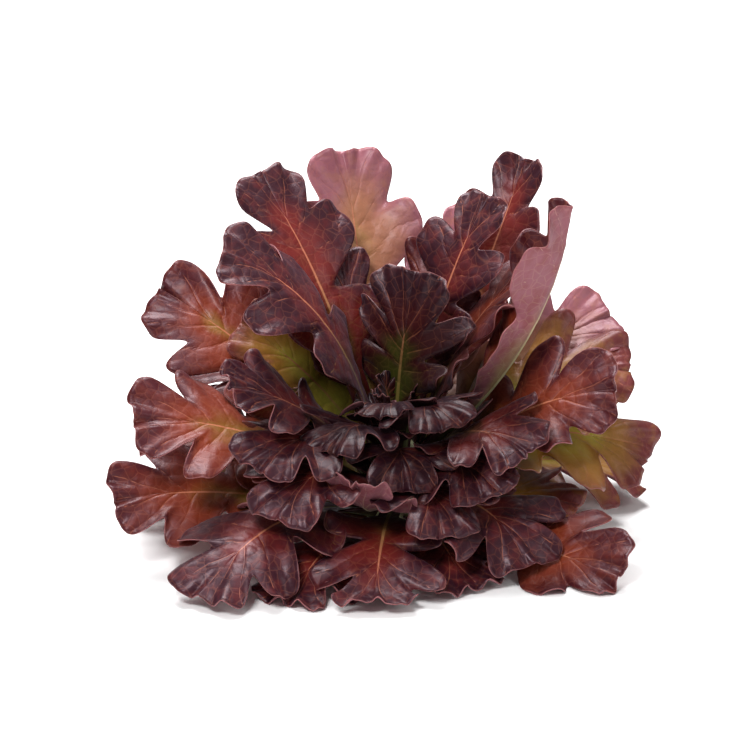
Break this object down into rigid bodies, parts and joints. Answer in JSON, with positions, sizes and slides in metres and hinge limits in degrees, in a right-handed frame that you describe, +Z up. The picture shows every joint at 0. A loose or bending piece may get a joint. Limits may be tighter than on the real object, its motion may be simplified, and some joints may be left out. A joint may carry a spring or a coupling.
{
  "type": "red oak leaf lettuce",
  "caption": "Loose head of lobed, red and green salad leaves growing from a short stem, cut flat below so that it stands by itself.",
  "frame": {"origin": "centre of the stem's flat cut face, on the surface that the head stands on", "axes": "+Z up along the stem, -Y towards the side that the picture shows"},
  "size_m": [0.2822, 0.2404, 0.1901],
  "materials": {
    "stem": "moist, matte",
    "heart": "waxy, semi-gloss",
    "leaf_purple": "waxy, semi-gloss, quilted",
    "leaf_red": "waxy, semi-gloss, quilted",
    "leaf_green": "waxy, semi-gloss, quilted"
  },
  "bodies": {
    "root": {"stem": "stem", "heart": "heart", "leaf_01": "leaf_red", "leaf_02": "leaf_red", "leaf_03": "leaf_green", "leaf_04": "leaf_purple", "leaf_05": "leaf_green", "leaf_06": "leaf_green", "leaf_07": "leaf_purple", "leaf_08": "leaf_green", "leaf_09": "leaf_purple", "leaf_10": "leaf_green", "leaf_11": "leaf_green", "leaf_12": "leaf_purple", "leaf_13": "leaf_green", "leaf_14": "leaf_red", "leaf_15": "leaf_purple", "leaf_16": "leaf_red", "leaf_17": "leaf_purple", "leaf_18": "leaf_green", "leaf_19": "leaf_red", "leaf_20": "leaf_purple", "leaf_21": "leaf_green", "leaf_22": "leaf_red", "leaf_23": "leaf_red", "leaf_24": "leaf_green", "leaf_25": "leaf_purple", "leaf_26": "leaf_green", "leaf_27": "leaf_red", "leaf_28": "leaf_purple", "leaf_29": "leaf_red", "leaf_30": "leaf_purple", "leaf_31": "leaf_green", "leaf_32": "leaf_green", "leaf_33": "leaf_purple", "leaf_34": "leaf_purple", "leaf_35": "leaf_purple", "leaf_36": "leaf_purple", "leaf_37": "leaf_red", "leaf_38": "leaf_purple", "leaf_39": "leaf_red", "leaf_40": "leaf_purple", "leaf_41": "leaf_purple", "leaf_42": "leaf_red", "leaf_43": "leaf_purple", "leaf_44": "leaf_red", "leaf_45": "leaf_purple", "leaf_46": "leaf_purple", "leaf_47": "leaf_purple"}
  },
  "joints": []
}
